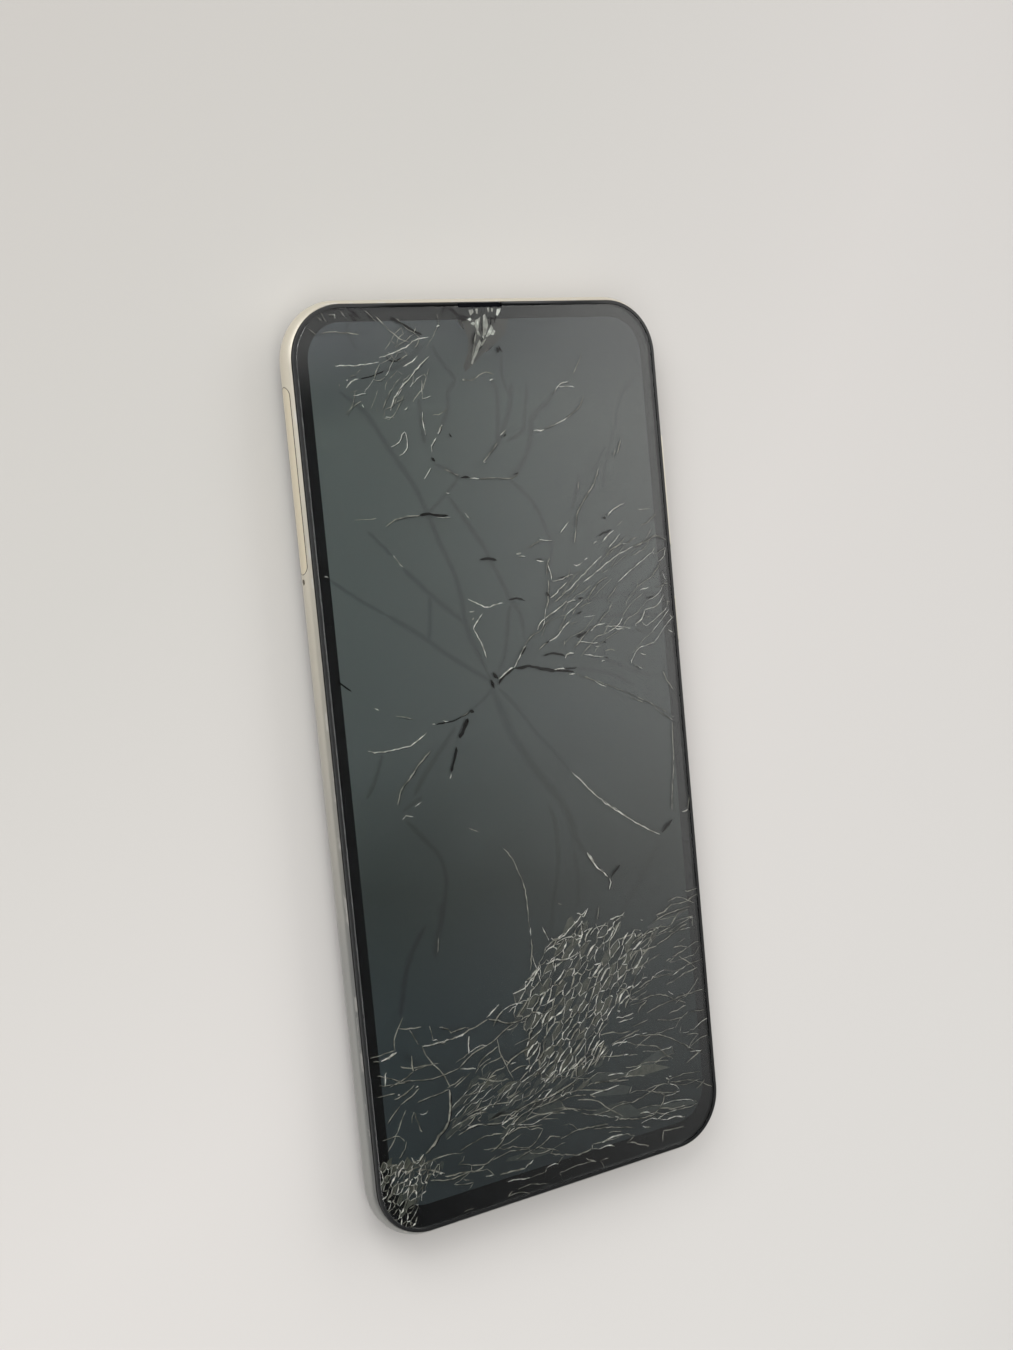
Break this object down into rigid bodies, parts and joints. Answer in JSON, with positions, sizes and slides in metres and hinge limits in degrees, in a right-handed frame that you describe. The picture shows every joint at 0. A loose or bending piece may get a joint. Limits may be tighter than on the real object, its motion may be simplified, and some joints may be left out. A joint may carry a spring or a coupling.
{
  "type": "shattered screen phone",
  "caption": "Bar phone with a shattered front glass over a dark notched display, a metal frame with a side card tray and keys, and its inner boards, battery and cameras.",
  "frame": {"origin": "on the table under the middle of the body, where the rear cover's flat back rests", "axes": "+Z out of the screen, +Y towards the earpiece end, +X to the right of the screen as it is read"},
  "size_m": [0.0755, 0.16, 0.008],
  "materials": {
    "front_glass": "clear toughened glass over a black printed border, cracked all over, gloss",
    "display_stack": "switched-off display, near black with a soft grey sheen",
    "black_foam": "thin black foam",
    "black_tape": "black adhesive tape",
    "flex_circuit": "amber flexible circuit film",
    "mesh_steel": "fine dark steel mesh",
    "frame_metal": "champagne anodised aluminium, fine satin, worn at the edges",
    "rear_glass": "painted glass cover, champagne, gloss",
    "ring_metal": "polished anodised ring",
    "camera_glass": "black tinted glass, gloss",
    "flash_lens": "milky lens",
    "led_phosphor": "yellow phosphor on a ceramic chip",
    "camera_plastic": "black moulded housing",
    "lens_barrel": "black barrel with a coated lens",
    "speaker_plastic": "black moulded box",
    "sensor_resin": "dark tinted resin",
    "circuit_board": "green lacquered board",
    "chip_resin": "black moulded resin",
    "stamped_steel": "thin stamped stainless steel",
    "battery_pouch": "black wrapped pouch",
    "white_tape": "white stretch-release tape",
    "cable_jacket": "thin white coaxial cable",
    "rotor_weight": "sintered tungsten weight",
    "gilt_can": "gilt can of a microphone",
    "connector_plastic": "black board connector",
    "bracket_plastic": "grey-black glass-filled plastic",
    "screw_steel": "small plated steel screw"
  },
  "bodies": {
    "phone": {"cover_glass": "front_glass", "display_panel": "display_stack", "panel_cushion": "black_foam", "screen_tape": "black_tape", "display_flex": "flex_circuit", "earpiece_mesh": "mesh_steel", "mid_frame": "frame_metal", "rear_cover": "rear_glass", "cover_adhesive": "black_tape", "camera_ring": "ring_metal", "camera_window": "camera_glass", "flash_lens": "flash_lens", "flash_led": "led_phosphor", "main_camera": "camera_plastic", "wide_camera": "camera_plastic", "depth_camera": "camera_plastic", "front_camera": "camera_plastic", "earpiece_speaker": "speaker_plastic", "proximity_sensor": "sensor_resin", "mainboard": "circuit_board", "processor": "chip_resin", "memory_chip": "chip_resin", "power_chip": "chip_resin", "radio_chip": "chip_resin", "shield_can": "stamped_steel", "sim_reader": "stamped_steel", "battery": "battery_pouch", "battery_tape": "white_tape", "battery_flex": "flex_circuit", "sub_board": "circuit_board", "usb_socket": "stamped_steel", "main_flex": "flex_circuit", "antenna_cable": "cable_jacket", "loudspeaker": "speaker_plastic", "speaker_mesh": "mesh_steel", "motor_case": "stamped_steel", "motor_base": "stamped_steel", "microphones": "gilt_can", "board_connectors": "connector_plastic", "key_switches": "stamped_steel", "key_flex": "flex_circuit", "key_bracket": "stamped_steel", "top_bracket": "bracket_plastic", "bottom_bracket": "bracket_plastic", "screws": "screw_steel"},
    "tray": {"sim_tray": "frame_metal"},
    "rocker": {"volume_rocker": "frame_metal"},
    "power": {"power_button": "frame_metal"},
    "rod": {"eject_rod": "stamped_steel"},
    "lever": {"eject_lever": "stamped_steel"},
    "rotor": {"motor_rotor": "rotor_weight"},
    "focus": {"main_lens": "lens_barrel"}
  },
  "joints": [
    {"name": "tray_slide", "type": "slide", "parent": "phone", "child": "tray", "axis": [-1, 0, 0], "range_m": [0, 0.015]},
    {"name": "rocker_tilt", "type": "hinge", "parent": "phone", "child": "rocker", "pos_m": [0.0365, 0.044, 0.0054], "axis": [0, 0, 1], "range_deg": [-1.5, 1.5], "stiffness_Nm_per_rad": 0.4},
    {"name": "power_press", "type": "slide", "parent": "phone", "child": "power", "axis": [-1, 0, 0], "range_m": [0, 0.00025], "stiffness_N_per_m": 4000},
    {"name": "rod_slide", "type": "slide", "parent": "phone", "child": "rod", "axis": [1, 0, 0], "range_m": [0, 0.001]},
    {"name": "lever_turn", "type": "hinge", "parent": "phone", "child": "lever", "pos_m": [-0.021, 0.0366, 0.0053], "axis": [0, 0, 1], "range_deg": [0, 23]},
    {"name": "rotor_spin", "type": "hinge", "parent": "phone", "child": "rotor", "pos_m": [-0.027, -0.0601, 0.0046], "axis": [0, 0, 1], "continuous": true},
    {"name": "focus_slide", "type": "slide", "parent": "phone", "child": "focus", "axis": [0, 0, -1], "range_m": [0, 0.00025], "stiffness_N_per_m": 80}
  ],
  "couplings": [
    {"joint": "lever_turn", "follows": "rod_slide", "rad_per_m": 400}
  ]
}
